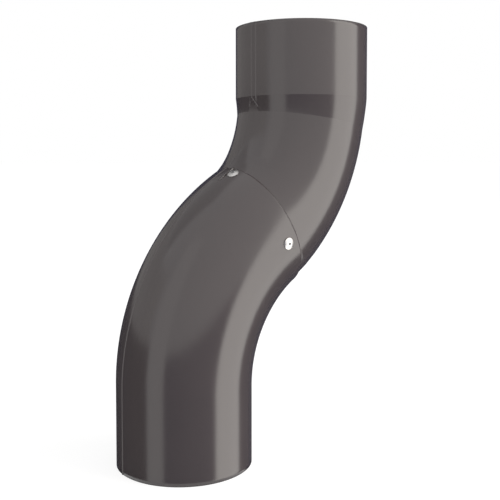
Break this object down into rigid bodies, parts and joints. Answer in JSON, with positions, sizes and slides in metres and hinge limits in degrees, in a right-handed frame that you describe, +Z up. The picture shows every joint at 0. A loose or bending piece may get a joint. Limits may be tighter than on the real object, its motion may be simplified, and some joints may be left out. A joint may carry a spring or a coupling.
{
  "type": "downpipe offset",
  "caption": "Round sheet-steel downpipe offset: opposed elbows, lapped and riveted, step the pipe sideways from a wide upper socket to a plain lower end.",
  "frame": {"origin": "centre of the lower rim", "axes": "+Z up the lower end, +X the way the offset steps from its lower end to its socket, +Y square to both"},
  "size_m": [0.2104, 0.1034, 0.3216],
  "materials": {
    "coated_steel": "satin",
    "rivet_aluminium": "satin",
    "stem_steel": "matte"
  },
  "bodies": {
    "root": {"lower_elbow": "coated_steel", "upper_elbow": "coated_steel", "rivet_body_1": "rivet_aluminium", "rivet_stem_1": "stem_steel", "rivet_body_2": "rivet_aluminium", "rivet_stem_2": "stem_steel", "rivet_body_3": "rivet_aluminium", "rivet_stem_3": "stem_steel", "rivet_body_4": "rivet_aluminium", "rivet_stem_4": "stem_steel"}
  },
  "joints": []
}
